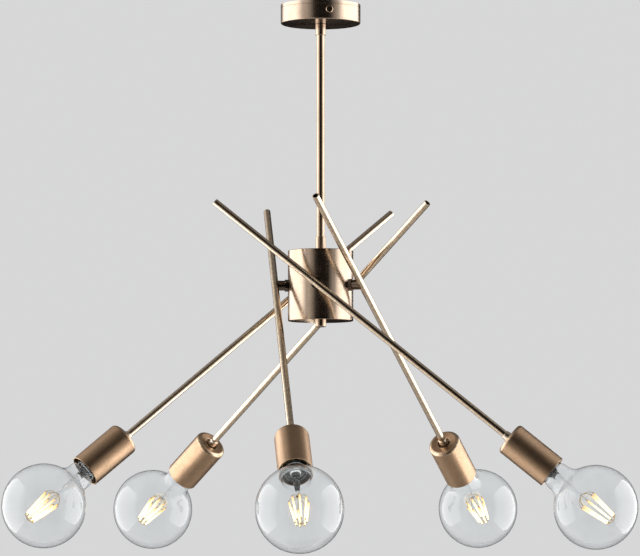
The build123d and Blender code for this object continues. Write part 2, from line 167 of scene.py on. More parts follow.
class BulbSettings(bpy.types.PropertyGroup):
    """One globe bulb, measured along the arm from its pivot."""

    globe_centre: length("Globe centre", 0.406391, "Pivot to the globe's centre, which sets its radius")
    glass_wall: length("Glass wall", 0.0009, "Thickness of the glass")
    neck_radius: length("Neck radius", 0.016, "Neck where it meets the globe")
    neck_length: length("Neck length", 0.010, "Cap to the start of the blend")
    neck_blend: length("Neck blend", 0.014, "Radius that blends neck into globe")
    foot_radius: length("Foot radius", 0.0133, "Glass where it leaves the cap")
    seal_radius: length("Seal radius", 0.0118, "Glass inside the cap")
    cap_tip: length("Cap tip", 0.3159, "Pivot to the contact at the cap's tip")
    cap_length: length("Cap length", 0.0265, "Tip to rim")
    cap_radius: length("Cap radius", 0.0131, "Over the thread's crests")
    thread_depth: length("Thread depth", 0.00075, "Crest to root")
    thread_pitch: length("Thread pitch", 0.0036, "Crest to crest")
    thread_start: length("Thread start", 0.0052, "Tip to the thread's first crest")
    thread_turns: bpy.props.IntProperty(
        name="Thread turns", description="Turns of the thread that are kept", default=5, min=1
    )
    collar_height: length("Collar height", 0.0075, "Plain skirt at the cap's rim")
    cap_wall: length("Cap wall", 0.0005, "Sheet of the cap")
    contact_radius: length("Contact radius", 0.005, "Soldered contact at the tip")
    contact_height: length("Contact height", 0.0016, "Soldered contact at the tip")
    insulator_top_radius: length("Insulator top radius", 0.0052, "Black glass beside the contact")
    insulator_edge_radius: length("Insulator edge radius", 0.0078, "Where the black glass turns down")
    insulator_slope: length("Insulator slope", 0.0034, "Height of the black cone")
    insulator_height: length("Insulator height", 0.0052, "Contact to the thread")


class FilamentSettings(bpy.types.PropertyGroup):
    """Glass mount and light sticks inside each globe, measured along the arm from its pivot."""

    mount_radius: length("Mount radius", 0.0032, "Inner glass tube")
    mount_top: length("Mount top", 0.385391, "End of the inner glass tube")
    flare_height: length("Flare height", 0.009, "Bell at the foot of the inner tube")
    flare_edge: length("Flare edge", 0.0014, "Flat rim of the bell")
    flare_rise: length("Flare rise", 0.0012, "Hollow of the bell's foot")
    flare_waist: length("Flare waist", 0.001, "Extra radius where the bell meets the tube")
    pinch_start: length("Pinch start", 0.014, "Where the tube narrows, before its end")
    pinch_place: length("Pinch place", 0.008, "Narrowest part, before the tube's end")
    pinch_depth: length("Pinch depth", 0.0012, "Radius lost at the narrowest part")
    bead_place: length("Bead place", 0.003, "Widest part of the end bead, before its end")
    bead_taper: length("Bead taper", 0.001, "Radius lost at the tube's end")
    rod_radius: length("Rod radius", 0.0008, "Glass rod through the ring of sticks")
    stick_count: bpy.props.IntProperty(
        name="Sticks", description="Light sticks in the ring", default=8, min=1
    )
    stick_radius: length("Stick radius", 0.001, "Each light stick")
    stick_top: length("Stick top", 0.393391, "Pivot to the sticks' upper ends")
    stick_length: length("Stick length", 0.036, "Each light stick")
    top_spread: length("Top spread", 0.0108, "Axis to the sticks' upper ends")
    bottom_spread: length("Bottom spread", 0.006, "Axis to the sticks' lower ends")
    wire_radius: length("Wire radius", 0.00032, "Lead wires")
    tab_length: length("Tab length", 0.0024, "Metal tab at each end of a stick")
    tab_bare: length("Bare tab", 0.0018, "Part of the tab that the coating leaves free")
    knee_height: length("Knee height", 0.0035, "Bend of a wire below the mount")
    rod_past: length("Rod past the sticks", 0.004, "Rod beyond the sticks' lower ends")


class StageSettings(bpy.types.PropertyGroup):
    """Camera, floor and soft light."""

    camera_distance: length("Camera distance", 4.413, "Camera to the hub's axis")
    camera_height: length("Camera height", -0.6477, "Camera below the ceiling")
    camera_pitch: bpy.props.FloatProperty(
        name="Camera pitch", description="Upward tilt", default=radians(4.3), subtype="ANGLE"
    )
    camera_yaw: bpy.props.FloatProperty(
        name="Camera yaw", description="Turn to the left", default=0.00016, subtype="ANGLE"
    )
    lens: bpy.props.FloatProperty(
        name="Lens", description="Focal length in millimetres", default=216.7
    )
    floor_height: length("Floor height", -2.6, "Floor below the ceiling")
    floor_size: length("Floor size", 120.0, "Side of the floor")
    floor_colour: colour("Floor colour", (0.86, 0.86, 0.86), "Plain floor")
    paleness: colour("Paleness", (0.68, 0.68, 0.685), "Plain surroundings")
    tent_radius: length("Tent radius", 6.0, "Dark cloth round the object, seen only in reflections")
    tent_colour: colour("Tent colour", (0.014, 0.012, 0.011), "Dark cloth in front and behind")
    tent_side_colour: colour("Tent side colour", (1.0, 0.97, 0.94), "Lit cloth to the left and right")
    box_distance: length("Softbox distance", 1.7, "Each softbox to the hub's axis")
    box_width: length("Softbox width", 3.5, "Front to back")
    box_height: length("Softbox height", 2.7, "Bottom to top")
    box_corner: length("Softbox corner", 1.1, "Rounding of each softbox")
    box_place: length("Softbox place", 0.25, "Middle of each softbox behind the hub's axis")
    box_drop: length("Softbox drop", -0.52, "Middle of each softbox below the ceiling")
    box_fade: length("Softbox fade", 0.9, "Front part of each softbox that dims to nothing")
    box_power: bpy.props.FloatProperty(
        name="Softbox strength", description="Emission of each softbox", default=3.1, min=0
    )


SETTINGS = {
    "finish": FinishSettings,
    "arm": ArmSettings,
    "cup": CupSettings,
    "bulb": BulbSettings,
    "filament": FilamentSettings,
    "stage": StageSettings,
}


def settings(name):
    """The scene's property group of that name."""
    return getattr(bpy.context.scene, "chandelier_" + name)


# ---------------------------------------------------------------- turned shapes
def arm_place(arm):
    """Frame of one arm: origin at its pivot, X outwards from the hub, Z towards the socket."""
    pivot = JOINTS["arm_pivot_" + arm]
    outward = Vector(pivot["axis"]).normalized()
    along = Vector(JOINTS["bulb_unscrew_" + arm]["axis"]).normalized()
    turn = Matrix((outward, along.cross(outward), along)).transposed().to_4x4()
    return Matrix.Translation(pivot["pos_m"]) @ turn


def outline(points, closed=True, segments=5):
    """A bmesh wire in the XZ plane through (radius, height, rounding) corners."""
    shape = bmesh.new()
    corners = [shape.verts.new((radius, 0, height)) for radius, height, *_ in points]
    for start, end in zip(corners, corners[1:] + corners[:1] if closed else corners[1:]):
        shape.edges.new((start, end))
    for corner, (_, _, *rounding) in zip(corners, points):
        if rounding:
            bmesh.ops.bevel(
                shape,
                geom=[corner],
                offset=rounding[0],
                offset_type="OFFSET",
                segments=segments,
                profile=0.5,
                affect="VERTICES",
                material=-1,
            )
    return shape


def swing(shape, vert, centre, angle, steps):
    """Draws an arc from vert about centre in the XZ plane, and returns its last vertex."""
    made = bmesh.ops.spin(
        shape,
        geom=[vert],
        cent=centre,
        axis=(0, -1, 0),
        dvec=(0, 0, 0),
        angle=angle,
        steps=steps,
        use_duplicate=False,
    )
    return next(item for item in made["geom_last"] if isinstance(item, bmesh.types.BMVert))


def turn_full(shape, steps):
    """Turns a wire about Z into a closed skin whose faces point outwards."""
    bmesh.ops.spin(
        shape,
        geom=shape.verts[:] + shape.edges[:],
        cent=(0, 0, 0),
        axis=(0, 0, 1),
        dvec=(0, 0, 0),
        angle=tau,
        steps=steps,
        use_merge=True,
        use_duplicate=False,
    )
    bmesh.ops.remove_doubles(shape, verts=shape.verts, dist=WELD)
    bmesh.ops.recalc_face_normals(shape, faces=shape.faces)
    return shape


def turned(points, steps, closed=True, segments=5):
    """A skin turned about Z from (radius, height, rounding) corners."""
    return turn_full(outline(points, closed, segments), steps)


def finish_piece(name, shape, place, body, material, nodes, smooth=35):
    """Makes an object of a bmesh, with its local place, edge wear and turned map stored on it."""
    mesh = bpy.data.meshes.new(name)
    local = shape.verts.layers.float_vector.new("turned")
    wear = shape.verts.layers.float.new("edge_wear")
    turned_map = shape.loops.layers.uv.new("turned_map")
    shape.normal_update()
    full_wear = radians(30)
    for vert in shape.verts:
        vert[local] = vert.co
        bends = [edge.calc_face_angle(0) for edge in vert.link_edges if edge.is_manifold]
        vert[wear] = min(1, max(bends, default=0) / full_wear)
    for face in shape.faces:
        middle = face.calc_center_median()
        middle_turn = atan2(middle.y, middle.x)
        for loop in face.loops:
            x, y, z = loop.vert.co
            turn = atan2(y, x) if x * x + y * y > WELD**2 else middle_turn
            turn += tau * round((middle_turn - turn) / tau)
            loop[turned_map].uv = (turn / tau, z)
    shape.transform(place)
    shape.to_mesh(mesh)
    shape.free()
    mesh.shade_smooth()
    mesh.set_sharp_from_angle(angle=radians(smooth))
    mesh.materials.append(material)
    piece = bpy.data.objects.new(name, mesh)
    bpy.context.scene.collection.objects.link(piece)
    piece.modifiers.new("even_shading", "WEIGHTED_NORMAL").keep_sharp = True
    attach(piece, body)
    if nodes:
        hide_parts(*nodes)
    return piece


def dress_nodes(material, *names):
    """Gives CAD nodes that stay a better material."""
    for name in names:
        materials = frame["nodes"][name].data.materials
        materials.clear()
        materials.append(material)


# ---------------------------------------------------------------- materials
class Nodes:
    """Short ways to add and join the nodes of one material."""

    def __init__(self, name):
        self.material = bpy.data.materials.new(name)
        self.material.use_nodes = True
        self.tree = self.material.node_tree
        self.shader = self.tree.nodes["Principled BSDF"]

    def add(self, kind, inputs=(), **values):
        node = self.tree.nodes.new(kind)
        for key, value in values.items():
            setattr(node, key, value)
        for key, value in dict(inputs).items():
            if isinstance(value, bpy.types.NodeSocket):
                self.tree.links.new(value, node.inputs[key])
            else:
                node.inputs[key].default_value = value
        return node

    def set(self, **inputs):
        for key, value in inputs.items():
            socket = self.shader.inputs[key.replace("_", " ")]
            if isinstance(value, bpy.types.NodeSocket):
                self.tree.links.new(value, socket)
            else:
                socket.default_value = value

    def place(self, own):
        """The piece's own turned place, or the place in the frame for a CAD node."""
        if own:
            return self.add("ShaderNodeAttribute", attribute_name="turned").outputs["Vector"]
        return self.add("ShaderNodeTexCoord").outputs["Object"]

    def noise(self, place, stretch, detail=3.0, roughness=0.55, offset=(0, 0, 0)):
        """Noise over a place that is stretched by three scales, in turns per metre."""
        mapped = self.add(
            "ShaderNodeMapping", {"Vector": place, "Scale": stretch, "Location": offset}
        )
        noise = self.add(
            "ShaderNodeTexNoise",
            {"Vector": mapped.outputs["Vector"], "Scale": 1.0, "Detail": detail, "Roughness": roughness},
        )
        return noise.outputs["Fac"]

    def between(self, value, low, high, start=0.0, end=1.0):
        """Value taken from low..high to start..end, and held there."""
        mapped = self.add(
            "ShaderNodeMapRange",
            {"Value": value, "From Min": low, "From Max": high, "To Min": start, "To Max": end},
        )
        return mapped.outputs["Result"]

    def times(self, first, second):
        product = self.add("ShaderNodeMath", {0: first, 1: second}, operation="MULTIPLY")
        return product.outputs["Value"]

    def plus(self, first, second):
        total = self.add("ShaderNodeMath", {0: first, 1: second}, operation="ADD", use_clamp=True)
        return total.outputs["Value"]

    def mix(self, factor, first, second):
        mixed = self.add("ShaderNodeMix", data_type="RGBA")
        pairs = ((mixed.inputs["Factor"], factor), (mixed.inputs[6], first), (mixed.inputs[7], second))
        for socket, value in pairs:
            if isinstance(value, bpy.types.NodeSocket):
                self.tree.links.new(value, socket)
            else:
                socket.default_value = value
        return mixed.outputs[2]

    def bump(self, height, strength, distance):
        bumped = self.add(
            "ShaderNodeBump", {"Height": height, "Strength": strength, "Distance": distance}
        )
        return bumped.outputs["Normal"]


def rgba(value, brightness=1.0):
    """A colour socket's value from a colour property."""
    return (*(min(1.0, channel * brightness) for channel in value), 1.0)


def brushed_bronze(
    name, base, roughness, own, rings, anisotropy=0.0, cloud=0.3, lines=0.12, shaded_dish_radius=None
):
    """Antique bronze: brushed rings, brown clouds of patina, bare metal along the edges, and painted
    shade of darkened patina inside a sunk dish when the dish's radius is given.
    """
    finish = settings("finish")
    nodes = Nodes(name)
    place = nodes.place(own)
    brushing = nodes.noise(place, rings, detail=4.0, roughness=0.7)
    clouds = nodes.noise(place, CLOUDS, detail=5.0, roughness=0.6, offset=(3, 1, 7))
    spots = nodes.noise(place, SPOTS, detail=2.0, offset=(5, 2, 9))
    rubbed = nodes.add("ShaderNodeAttribute", attribute_name="edge_wear").outputs["Fac"]
    rubbed = nodes.times(nodes.between(rubbed, 0.15, 0.9), nodes.between(spots, 0.35, 0.6, 0.35, 1.0))
    shade = nodes.plus(
        nodes.between(clouds, 0.42, 0.72, 0.0, cloud), nodes.between(brushing, 0.35, 0.8, 0.0, lines)
    )
    metal = nodes.mix(shade, rgba(base), rgba(finish.patina))
    metal = nodes.mix(rubbed, metal, rgba(finish.worn_bronze))
    # Painted shade: inside the sunk dish the bronze turns to patina darkened well below its own colour,
    # standing in for the shade that falls in the dish.
    if shaded_dish_radius:
        across = nodes.add("ShaderNodeVectorMath", {0: place, 1: (1, 1, 0)}, operation="MULTIPLY")
        across = nodes.add("ShaderNodeVectorMath", {0: across.outputs["Vector"]}, operation="LENGTH")
        dish_shade = nodes.between(across.outputs["Value"], shaded_dish_radius, shaded_dish_radius * 0.93)
        metal = nodes.mix(dish_shade, metal, rgba(finish.patina, 0.35))
    gloss = nodes.between(brushing, 0.3, 0.75, roughness * 0.82, roughness * 1.25)
    gloss = nodes.plus(gloss, nodes.between(clouds, 0.45, 0.75, 0.0, 0.09))
    nodes.set(
        Metallic=1.0,
        Base_Color=metal,
        Roughness=gloss,
        Normal=nodes.bump(brushing, lines, 0.00002),
    )
    nodes.set(Anisotropic=anisotropy, Anisotropic_Rotation=0.25)
    if own and anisotropy:
        tangent = nodes.add("ShaderNodeTangent", direction_type="UV_MAP", uv_map="turned_map")
        nodes.set(Tangent=tangent.outputs["Tangent"])
    return nodes.material


def plain_metal(name, base, roughness, own, rings=(60, 60, 900)):
    """Bright small metal: fine drawn lines, faint tarnish and handling marks."""
    nodes = Nodes(name)
    place = nodes.place(own)
    lines = nodes.noise(place, rings, detail=3.0)
    tarnish = nodes.noise(place, TARNISH, detail=5.0, offset=(2, 8, 4))
    shade = nodes.between(tarnish, 0.4, 0.75, 0.0, 0.5)
    nodes.set(
        Metallic=1.0,
        Base_Color=nodes.mix(shade, rgba(base), rgba(base, 0.55)),
        Roughness=nodes.plus(
            nodes.between(lines, 0.3, 0.7, roughness * 0.8, roughness * 1.3),
            nodes.between(tarnish, 0.45, 0.8, 0.0, 0.12),
        ),
        Normal=nodes.bump(lines, 0.3, 0.00003),
    )
    return nodes.material


def moulding(name, base, roughness, own=False):
    """Moulded plastic or ceramic: fine grain, slight mottling and dull patches."""
    nodes = Nodes(name)
    place = nodes.place(own)
    grain = nodes.noise(place, MOULD_GRAIN, detail=2.0)
    mottle = nodes.noise(place, MOTTLE, detail=4.0, offset=(1, 5, 3))
    nodes.set(
        Base_Color=nodes.mix(nodes.between(mottle, 0.3, 0.7), rgba(base, 0.86), rgba(base, 1.08)),
        Roughness=nodes.between(mottle, 0.3, 0.7, roughness * 0.85, roughness * 1.15),
        Normal=nodes.bump(grain, 0.25, 0.00004),
    )
    return nodes.material


def clear_glass(name):
    """Clear blown glass: a faint cool tint that gathers in slow waves."""
    finish = settings("finish")
    nodes = Nodes(name)
    waves = nodes.noise(nodes.place(True), GLASS_WAVES, detail=1.0)
    tint = nodes.mix(nodes.between(waves, 0.35, 0.7), rgba(finish.glass), rgba(finish.glass, 0.97))
    nodes.set(
        Base_Color=tint,
        Roughness=0.0,
        IOR=finish.glass_ior,
        Transmission_Weight=1.0,
        Normal=nodes.bump(waves, 0.05, 0.0006),
    )
    return nodes.material


def glowing_sticks(name):
    """Yellow phosphor coating that glows cream, and stays deep gold at the sticks' upper ends."""
    finish = settings("finish")
    size = settings("filament")
    nodes = Nodes(name)
    place = nodes.place(True)
    grain = nodes.noise(place, PHOSPHOR_GRAIN, detail=3.0)
    chips = nodes.noise(place, PHOSPHOR_CHIPS, detail=1.0, offset=(4, 4, 1))
    along = nodes.add("ShaderNodeSeparateXYZ", {"Vector": place}).outputs["Z"]
    lit = nodes.between(along, size.stick_top + 0.002, size.stick_top + 0.013)
    lit = nodes.times(lit, nodes.between(chips, 0.3, 0.6, 0.72, 1.0))
    coating = nodes.mix(
        nodes.between(grain, 0.3, 0.7), rgba(finish.phosphor, 0.8), rgba(finish.phosphor)
    )
    nodes.set(
        Base_Color=coating,
        Roughness=nodes.between(grain, 0.3, 0.7, 0.35, 0.55),
        Emission_Color=nodes.mix(lit, rgba(finish.gold_light), rgba(finish.cream_light)),
        Emission_Strength=finish.glow,
        Normal=nodes.bump(grain, 0.3, 0.00005),
    )
    return nodes.material


MATERIALS = {}


def make_materials():
    """Every finish of the chandelier, under its own name."""
    finish = settings("finish")
    MATERIALS.clear()
    MATERIALS.update(
        satin_bronze=brushed_bronze(
            "satin_bronze", finish.satin_bronze, finish.satin_roughness, False, FINE_TURNS,
            anisotropy=0.35,
        ),
        polished_fixed=brushed_bronze(
            "polished_bronze_fixed", finish.polished_bronze, finish.polished_roughness, False,
            FINE_TURNS, lines=0.04,
        ),
        dark_bronze=brushed_bronze(
            "dark_bronze", finish.dark_bronze, finish.satin_roughness, False, FINE_TURNS
        ),
        polished_bronze=brushed_bronze(
            "polished_bronze", finish.polished_bronze, finish.polished_roughness, True,
            DRAWN_TUBE, lines=0.02,
        ),
        bright_bronze=brushed_bronze(
            "bright_bronze", finish.bright_bronze, finish.satin_roughness, True,
            ALONG_TURNS, cloud=0.1, lines=0.06,
        ),
        cup_bronze=brushed_bronze(
            "cup_bronze", finish.cup_bronze, finish.cup_roughness, True, CUP_TURNS,
            anisotropy=0.5, cloud=0.35, lines=0.3, shaded_dish_radius=settings("cup").dish_radius,
        ),
        zinc_steel=plain_metal("zinc_steel", finish.zinc_steel, 0.38, False),
        white_moulding=moulding("white_moulding", finish.white_moulding, 0.5),
        black_insulator=moulding("black_insulator", finish.black_insulator, 0.36),
        cap_glass=moulding("cap_insulator_glass", finish.black_insulator, 0.12, True),
        contact_fixed=plain_metal("contact_brass_fixed", finish.contact_brass, 0.3, False),
        contact_brass=plain_metal("contact_brass", finish.contact_brass, 0.26, True),
        cap_metal=plain_metal("cap_metal", finish.cap_metal, 0.27, True, ALONG_TURNS),
        clear_glass=clear_glass("clear_glass"),
        glowing_filament=glowing_sticks("glowing_filament"),
    )


# ---------------------------------------------------------------- pieces
class CHANDELIER_OT_ceiling(bpy.types.Operator):
    """Finish the canopy, its screws, the ceiling bracket and the terminal block"""

    bl_idname = "chandelier.ceiling"
    bl_label = "Canopy and ceiling bracket"

    def execute(self, context):
        dress_nodes(MATERIALS["satin_bronze"], "canopy")
        dress_nodes(MATERIALS["polished_fixed"], "canopy_screws")
        dress_nodes(MATERIALS["zinc_steel"], "ceiling_bracket")
        dress_nodes(MATERIALS["white_moulding"], "terminal_block")
        return {"FINISHED"}


class CHANDELIER_OT_stem(bpy.types.Operator):
    """Finish the stem with its two collars and lock nuts"""

    bl_idname = "chandelier.stem"
    bl_label = "Stem and collars"

    def execute(self, context):
        dress_nodes(MATERIALS["polished_fixed"], "stem_tube", "stem_top_collar", "stem_bottom_collar")
        dress_nodes(MATERIALS["zinc_steel"], "stem_lock_nuts")
        return {"FINISHED"}


class CHANDELIER_OT_hub(bpy.types.Operator):
    """Finish the hub, its end discs, the cap nut and the arm pivots"""

    bl_idname = "chandelier.hub"
    bl_label = "Hub and pivots"

    def execute(self, context):
        dress_nodes(MATERIALS["satin_bronze"], "hub_shell")
        dress_nodes(MATERIALS["polished_fixed"], "hub_top_disc", "hub_bottom_disc", "hub_cap_nut")
        dress_nodes(MATERIALS["zinc_steel"], "pivot_nipples")
        dress_nodes(MATERIALS["dark_bronze"], "pivot_lock_nuts")
        for arm in ARMS:
            dress_nodes(MATERIALS["dark_bronze"], "arm_bush_" + arm)
        return {"FINISHED"}


class CHANDELIER_OT_arms(bpy.types.Operator):
    """Turn the five arm tubes and their ferrules"""

    bl_idname = "chandelier.arms"
    bl_label = "Arms and ferrules"

    def execute(self, context):
        size = settings("arm")
        cup = settings("cup")
        seat = size.socket_top + cup.dish_depth
        bore = size.tube_radius - size.tube_wall
        low, high = -size.upper_length, size.socket_top + size.in_socket
        sawn = size.cut_round
        tube = [
            (bore, low, sawn),
            (size.tube_radius, low, sawn),
            (size.tube_radius, high, sawn),
            (bore, high, sawn),
        ]
        hole = size.tube_radius + THREAD_FIT
        ferrule = [
            (hole, seat - size.ferrule_length),
            (size.ferrule_top_radius, seat - size.ferrule_length, size.ferrule_round),
            (size.ferrule_bottom_radius, seat),
            (hole, seat),
        ]
        for arm in ARMS:
            place = arm_place(arm)
            body = "arm_" + arm
            finish_piece(
                "tube_" + arm, turned(tube, THIN_STEPS, segments=2), place, body,
                MATERIALS["polished_bronze"], ["arm_tube_" + arm],
            )
            finish_piece(
                "ferrule_" + arm, turned(ferrule, THIN_STEPS, segments=3), place, body,
                MATERIALS["bright_bronze"], ["arm_collar_" + arm],
            )
        return {"FINISHED"}


class CHANDELIER_OT_cups(bpy.types.Operator):
    """Turn the five socket cups"""

    bl_idname = "chandelier.cups"
    bl_label = "Socket cups"

    def execute(self, context):
        size = settings("cup")
        top = settings("arm").socket_top
        mouth = top + size.length
        dish_floor = top + size.dish_depth
        ceiling = dish_floor + size.floor
        hole = settings("arm").tube_radius + THREAD_FIT
        cup = [
            (hole, dish_floor),
            (size.dish_radius, dish_floor, size.lip),
            (size.dish_radius, top + size.dish_slope, size.lip),
            (size.radius - size.shoulder - size.lip, top, size.lip),
            (size.radius, top, size.shoulder),
            (size.radius, mouth, size.lip),
            (size.radius - size.wall, mouth, size.lip),
            (size.radius - size.wall, ceiling, size.lip),
            (hole, ceiling),
        ]
        for arm in ARMS:
            finish_piece(
                "cup_" + arm, turned(cup, WIDE_STEPS, segments=6), arm_place(arm), "arm_" + arm,
                MATERIALS["cup_bronze"], ["socket_cup_" + arm],
            )
        return {"FINISHED"}


class CHANDELIER_OT_lampholders(bpy.types.Operator):
    """Finish the insulators and contacts inside the cups"""

    bl_idname = "chandelier.lampholders"
    bl_label = "Lampholders and contacts"

    def execute(self, context):
        for arm in ARMS:
            dress_nodes(MATERIALS["black_insulator"], "lampholder_" + arm)
            dress_nodes(MATERIALS["contact_fixed"], "lamp_contacts_" + arm)
        return {"FINISHED"}


def globe_skin(size):
    """The bulb's glass as one blown skin with a wall, open inside the cap.

    The globe is the sphere about its centre that touches the neck's blend.
    """
    rim = size.cap_tip + size.cap_length
    foot_height = rim + BODY_GAP
    neck_top = foot_height + size.neck_length
    reach = size.neck_radius + size.neck_blend
    rise = size.globe_centre - neck_top
    shape = bmesh.new()
    seal = shape.verts.new((size.seal_radius, 0, rim - GLASS_IN_CAP))
    waist = shape.verts.new((size.seal_radius, 0, foot_height))
    foot = shape.verts.new((size.foot_radius, 0, foot_height))
    shape.edges.new((seal, waist))
    shape.edges.new((waist, foot))
    flare = size.neck_radius - size.foot_radius
    bow = (flare**2 + size.neck_length**2) / (2 * flare)
    neck_steps, blend_steps, globe_steps = 8, 14, 72
    bend = asin(size.neck_length / bow)
    neck = swing(shape, foot, (size.neck_radius - bow, 0, neck_top), bend, neck_steps)
    lean = atan2(rise, reach)
    meet = swing(shape, neck, (reach, 0, neck_top), -lean, blend_steps)
    swing(shape, meet, (0, 0, size.globe_centre), lean + pi / 2, globe_steps)
    turn_full(shape, WIDE_STEPS)
    bmesh.ops.solidify(shape, geom=shape.faces[:], thickness=size.glass_wall)
    return shape


class CHANDELIER_OT_globes(bpy.types.Operator):
    """Blow the five clear globes"""

    bl_idname = "chandelier.globes"
    bl_label = "Bulb globes"

    def execute(self, context):
        for arm in ARMS:
            finish_piece(
                "globe_" + arm, globe_skin(settings("bulb")), arm_place(arm), "bulb_" + arm,
                MATERIALS["clear_glass"], ["bulb_glass_" + arm],
            )
        return {"FINISHED"}


def threaded_shell(size):
    """The cap's rolled thread, swept up a helix and cut level at both ends."""
    root = size.cap_radius - size.thread_depth
    pitch = size.thread_pitch
    middle = root + size.thread_depth / 2
    low = size.cap_tip + size.thread_start
    high = low + size.thread_turns * pitch
    shape = outline(
        [
            (middle, low - pitch),
            (size.cap_radius, low - pitch * 0.75, pitch * 0.2),
            (root, low - pitch * 0.25, pitch * 0.2),
            (middle, low),
        ],
        closed=False,
        segments=4,
    )
    turns = size.thread_turns + 2
    bmesh.ops.spin(
        shape,
        geom=shape.verts[:] + shape.edges[:],
        cent=(0, 0, 0),
        axis=(0, 0, 1),
        dvec=(0, 0, pitch / THIN_STEPS),
        angle=tau * turns,
        steps=THIN_STEPS * turns,
        use_duplicate=False,
    )
    bmesh.ops.remove_doubles(shape, verts=shape.verts, dist=WELD)
    for height, outer in ((low, False), (high, True)):
        bmesh.ops.bisect_plane(
            shape,
            geom=shape.verts[:] + shape.edges[:] + shape.faces[:],
            plane_co=(0, 0, height),
            plane_no=(0, 0, 1),
            clear_inner=not outer,
            clear_outer=outer,
        )
    bmesh.ops.recalc_face_normals(shape, faces=shape.faces)
    return shape


class CHANDELIER_OT_caps(bpy.types.Operator):
    """Roll the screw caps with their black glass and tip contacts"""

    bl_idname = "chandelier.caps"
    bl_label = "Bulb caps"

    def execute(self, context):
        size = settings("bulb")
        root = size.cap_radius - size.thread_depth
        tip, rim = size.cap_tip, size.cap_tip + size.cap_length
        cone_top = tip + size.contact_height
        skirt = rim - size.collar_height
        inside = root - size.cap_wall
        cone_foot = root - 0.0002
        collar = [
            (inside, skirt),
            (root, skirt),
            (root, rim, 0.0002),
            (inside, rim, 0.0002),
        ]
        insulator = [
            (0, cone_top - 0.0004),
            (size.insulator_top_radius, cone_top - 0.0004, 0.0003),
            (size.insulator_edge_radius, cone_top + 0.0002, 0.0006),
            (cone_foot, cone_top + size.insulator_slope, 0.0006),
            (cone_foot, cone_top + size.insulator_height),
            (0, cone_top + size.insulator_height),
        ]
        contact = [
            (0, tip),
            (size.contact_radius - 0.0008, tip, 0.0007),
            (size.contact_radius, cone_top, 0.0003),
            (0, cone_top),
        ]
        for arm in ARMS:
            place = arm_place(arm)
            body = "bulb_" + arm
            node = ["bulb_cap_" + arm]
            finish_piece(
                "cap_thread_" + arm, threaded_shell(size), place, body,
                MATERIALS["cap_metal"], node, 50,
            )
            finish_piece(
                "cap_collar_" + arm, turned(collar, CAP_STEPS), place, body,
                MATERIALS["cap_metal"], node,
            )
            finish_piece(
                "cap_insulator_" + arm, turned(insulator, CONE_STEPS), place, body,
                MATERIALS["cap_glass"], node,
            )
            finish_piece(
                "cap_contact_" + arm, turned(contact, THIN_STEPS), place, body,
                MATERIALS["contact_brass"], node,
            )
        return {"FINISHED"}


def mount_skin(size, foot, bell):
    """The inner glass tube: a bell at its foot, a pinch, and a bead at its end."""
    radius, end = size.mount_radius, size.mount_top
    points = [
        (0, foot + size.flare_rise, 0.0004),
        (bell - size.flare_edge, foot, 0.0004),
        (bell, foot, 0.0004),
        (radius + size.flare_waist, foot + size.flare_height, 0.006),
        (radius, end - size.pinch_start, 0.004),
        (radius - size.pinch_depth, end - size.pinch_place, 0.002),
        (radius, end - size.bead_place, 0.0015),
        (radius - size.bead_taper, end, 0.001),
        (0, end),
    ]
    return turned(points, THIN_STEPS, closed=False)


def stick_ends(size):
    """Upper and lower ends of each light stick, in the arm's frame."""
    spread = size.top_spread - size.bottom_spread
    bottom = size.stick_top + sqrt(size.stick_length**2 - spread**2)
    for index in range(size.stick_count):
        turn = tau * index / size.stick_count
        side = Vector((cos(turn), sin(turn), 0))
        yield side * size.top_spread + Vector((0, 0, size.stick_top)), (
            side * size.bottom_spread + Vector((0, 0, bottom))
        )


def bar_between(shape, start, end, radius, sides=12):
    """Adds a round bar between two points, with softened ends."""
    path = end - start
    turn = Vector((0, 0, 1)).rotation_difference(path).to_matrix().to_4x4()
    made = bmesh.ops.create_cone(
        shape,
        cap_ends=True,
        segments=sides,
        radius1=radius,
        radius2=radius,
        depth=path.length,
        matrix=Matrix.Translation((start + end) / 2) @ turn,
    )
    rims = {edge for vert in made["verts"] for edge in vert.link_edges if len(edge.link_faces) == 2}
    rims = [edge for edge in rims if edge.calc_face_angle(0) > radians(60)]
    bmesh.ops.bevel(
        shape,
        geom=rims,
        offset=radius * 0.35,
        offset_type="OFFSET",
        segments=3,
        profile=0.5,
        affect="EDGES",
        material=-1,
    )


